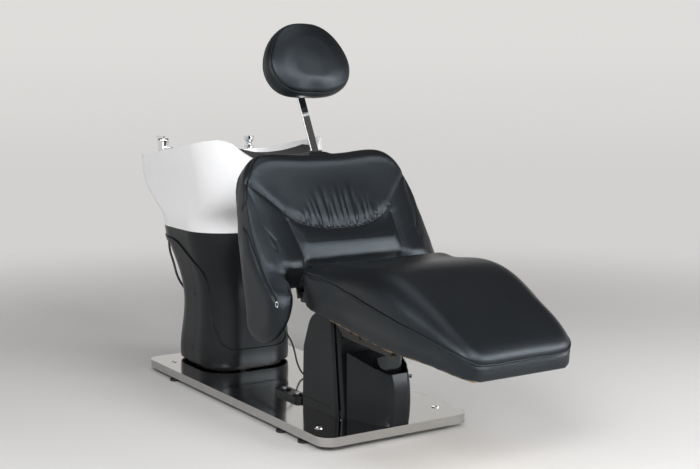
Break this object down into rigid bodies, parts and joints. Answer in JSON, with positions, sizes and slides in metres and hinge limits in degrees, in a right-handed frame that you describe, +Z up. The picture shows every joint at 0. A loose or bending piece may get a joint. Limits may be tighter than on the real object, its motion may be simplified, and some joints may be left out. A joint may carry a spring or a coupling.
{
  "type": "hair washing bed",
  "caption": "Padded lounger with a tilting backrest and headrest, set in front of a ceramic hair wash basin on one steel floor plate.",
  "frame": {"origin": "on the floor, under the middle of the whole bed", "axes": "+X from the wash basin towards the foot end, +Y across the bed, away from the near side in the picture, +Z up"},
  "size_m": [2.0512, 0.6942, 1.2996],
  "materials": {
    "brushed_plate": "brushed",
    "chrome": "polished",
    "black_steel": "satin",
    "raw_steel": "satin",
    "frame_steel": "satin",
    "foot_rubber": "matte",
    "black_plastic": "satin",
    "gloss_trim": "gloss",
    "pipe_plastic": "satin",
    "white_ceramic": "glossy",
    "black_rubber": "matte",
    "hose_rubber": "satin",
    "plywood": "bare",
    "black_leather": "semi-gloss"
  },
  "bodies": {
    "base": {"base_plate": "brushed_plate", "anchor_rings": "chrome", "under_frame": "black_steel", "levelling_feet": "foot_rubber", "pedestal_front_shell": "black_plastic", "pedestal_trim": "black_plastic", "pedestal_skirt": "black_plastic", "pedestal_rear_cover": "black_plastic", "pedestal_screws": "black_steel", "pedestal_stand": "black_steel", "basin": "white_ceramic", "neck_cushion": "black_rubber", "mixer_body": "chrome", "shower_socket": "chrome", "waste_fitting": "chrome", "bottle_trap": "pipe_plastic", "waste_pipe": "pipe_plastic", "supply_valves": "chrome", "shower_hose": "hose_rubber", "power_lead": "hose_rubber", "hose_glands": "black_rubber", "lead_glands": "black_rubber", "column_housing": "black_plastic", "column_post": "black_steel", "tilt_pin": "raw_steel", "column_bolts": "raw_steel", "actuator_cover": "black_plastic", "cover_collar": "gloss_trim", "actuator_mount": "raw_steel", "actuator_foot_pin": "raw_steel", "foot_switch_housing": "black_plastic", "lever_bracket": "black_steel"},
    "seat": {"seat_frame": "frame_steel", "board_screws": "raw_steel", "seat_board": "plywood", "seat_cushion": "black_leather", "recline_hinge_plates": "black_steel", "recline_bolts": "raw_steel", "actuator_top_pin": "raw_steel"},
    "actuator": {"actuator_body": "black_steel"},
    "actuator_rod": {"actuator_rod": "raw_steel"},
    "backrest": {"backrest_frame": "black_steel", "backrest_board": "plywood", "backrest_rear_panel": "black_leather", "backrest_cushion": "black_leather", "headrest_sleeve": "black_steel"},
    "headrest_bar": {"headrest_bar": "chrome", "headrest_pin": "raw_steel"},
    "headrest": {"headrest_plate": "black_steel", "headrest_cushion": "black_leather"},
    "mixer_cap": {"mixer_cap": "chrome"},
    "mixer_lever": {"mixer_lever": "chrome"},
    "hand_shower": {"hand_shower": "chrome"},
    "strainer": {"strainer": "chrome"},
    "foot_button_up": {"foot_button_up": "raw_steel"},
    "foot_button_down": {"foot_button_down": "raw_steel"},
    "release_lever": {"release_lever": "gloss_trim"}
  },
  "joints": [
    {"name": "seat_tilt", "type": "hinge", "parent": "base", "child": "seat", "pos_m": [0.217, 0, 0.362], "axis": [0, -1, 0], "range_deg": [0, 12]},
    {"name": "actuator_swing", "type": "hinge", "parent": "base", "child": "actuator", "pos_m": [0.322, 0, 0.084], "axis": [0, -1, 0], "range_deg": [-1, 2]},
    {"name": "rod_extension", "type": "slide", "parent": "actuator", "child": "actuator_rod", "axis": [0.2737, 0, 0.9618], "range_m": [-0.001, 0.04]},
    {"name": "backrest_recline", "type": "hinge", "parent": "seat", "child": "backrest", "pos_m": [0.244, 0, 0.414], "axis": [0, 1, 0], "range_deg": [-10, 0]},
    {"name": "headrest_slide", "type": "slide", "parent": "backrest", "child": "headrest_bar", "axis": [0.454, 0, -0.891], "range_m": [-0.03, 0.12]},
    {"name": "headrest_tilt", "type": "hinge", "parent": "headrest_bar", "child": "headrest", "pos_m": [-0.16542, 0, 1.09526], "axis": [0, 1, 0], "range_deg": [-25, 15]},
    {"name": "mixer_swivel", "type": "hinge", "parent": "base", "child": "mixer_cap", "pos_m": [-0.946, -0.15, 0.85416], "axis": [0, 0, 1], "range_deg": [-45, 45]},
    {"name": "mixer_lift", "type": "hinge", "parent": "mixer_cap", "child": "mixer_lever", "pos_m": [-0.938, -0.15, 0.87376], "axis": [0, 1, 0], "range_deg": [0, 15]},
    {"name": "hand_shower_lift", "type": "slide", "parent": "base", "child": "hand_shower", "axis": [0, 0, 1], "range_m": [0, 0.25]},
    {"name": "strainer_lift", "type": "slide", "parent": "base", "child": "strainer", "axis": [0, 0, 1], "range_m": [0, 0.1]},
    {"name": "foot_button_up_press", "type": "slide", "parent": "base", "child": "foot_button_up", "axis": [0, 0, -1], "range_m": [0, 0.0035], "stiffness_N_per_m": 900, "springref_m": -0.002},
    {"name": "foot_button_down_press", "type": "slide", "parent": "base", "child": "foot_button_down", "axis": [0, 0, -1], "range_m": [0, 0.0035], "stiffness_N_per_m": 900, "springref_m": -0.002},
    {"name": "release_lever_press", "type": "hinge", "parent": "base", "child": "release_lever", "pos_m": [0.223, 0.1271, 0.142], "axis": [1, 0, 0], "range_deg": [-12, 0], "stiffness_Nm_per_rad": 2, "springref_deg": 2.86}
  ],
  "couplings": [
    {"joint": "actuator_swing", "follows": "seat_tilt", "ratio": 0.12135},
    {"joint": "rod_extension", "follows": "seat_tilt", "m_per_rad": 0.17445}
  ]
}
